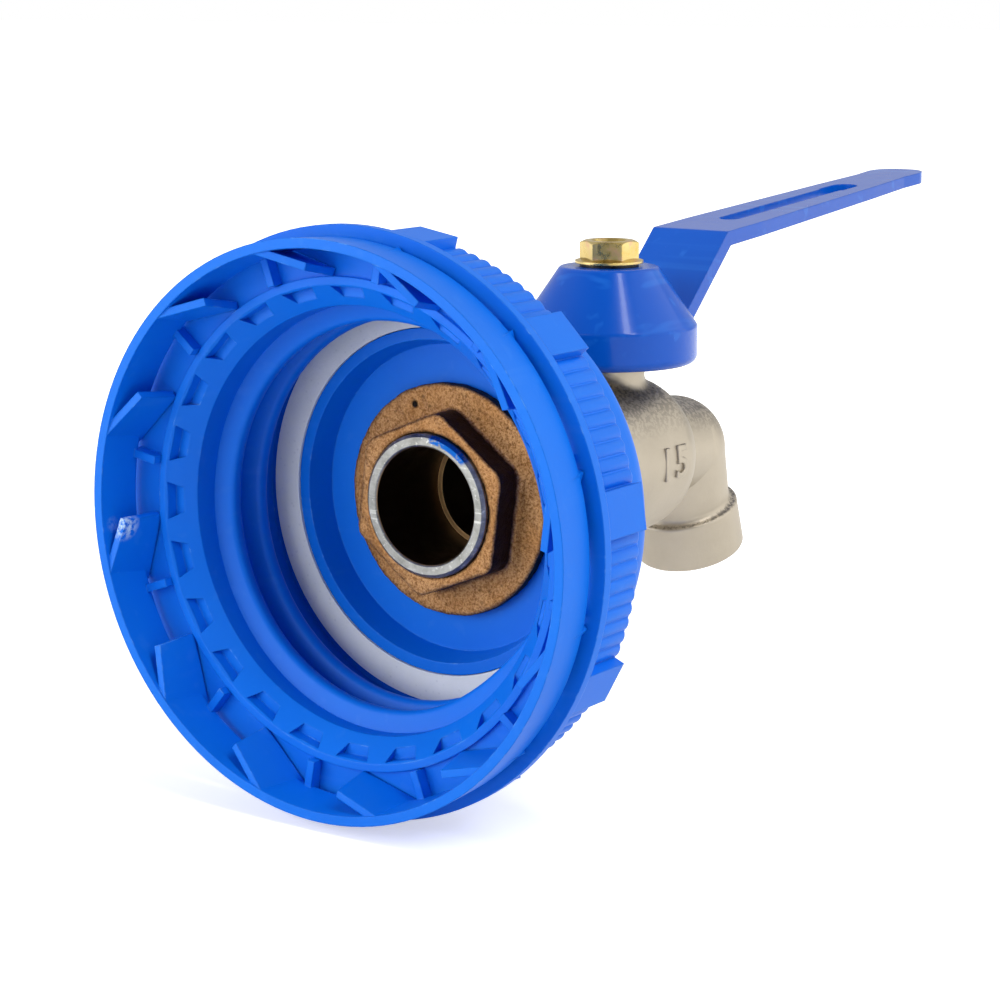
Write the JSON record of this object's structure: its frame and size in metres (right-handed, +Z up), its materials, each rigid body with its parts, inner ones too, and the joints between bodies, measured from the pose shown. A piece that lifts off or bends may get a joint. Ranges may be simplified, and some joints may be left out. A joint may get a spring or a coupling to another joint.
{
  "type": "ibc tank valve",
  "caption": "Screw cap for an IBC tank outlet with a tamper ring, carrying a ball tap with an angled spout, a bell-shaped hub and a long slotted lever.",
  "frame": {"origin": "centre of the cap gasket's sealing face, on the flow axis", "axes": "+X is the way the liquid flows, out of the tank and into the tap; +Z runs up the tap's stem; the part is symmetric about Y = 0"},
  "size_m": [0.1771, 0.083, 0.083],
  "materials": {
    "cap_blue": "glossy injection moulded",
    "gasket_grey": "matte",
    "nut_brass": "rough sand-cast",
    "seal_black": "matte",
    "washer_zinc": "zinc plated",
    "nipple_nickel": "nickel plated, machined",
    "body_nickel": "nickel plated casting, satin",
    "seat_white": "PTFE",
    "ball_chrome": "polished",
    "stem_brass": "machined",
    "handle_blue": "glossy paint",
    "bolt_zinc": "yellow zinc plated",
    "washer_dark": "oiled steel"
  },
  "bodies": {
    "valve": {"cap_shell": "cap_blue", "tamper_ring": "cap_blue", "cap_gasket": "gasket_grey", "backnut": "nut_brass", "outer_seal": "seal_black", "clamp_washer": "washer_zinc", "inlet_adapter": "nipple_nickel", "adapter_seal": "seal_black", "valve_body": "body_nickel", "inlet_seat": "seat_white", "outlet_seat": "seat_white", "stem_thrust_washer": "seat_white", "stem_packing": "seat_white"},
    "handle": {"ball": "ball_chrome", "stem": "stem_brass", "stem_o_ring_lower": "seal_black", "stem_o_ring_upper": "seal_black", "lever_handle": "handle_blue", "lock_washer": "washer_dark", "handle_bolt": "bolt_zinc"}
  },
  "joints": [
    {"name": "handle_turn", "type": "hinge", "parent": "valve", "child": "handle", "pos_m": [0.046, 0, 0], "axis": [0, 0, 1], "range_deg": [-90, 0]}
  ]
}
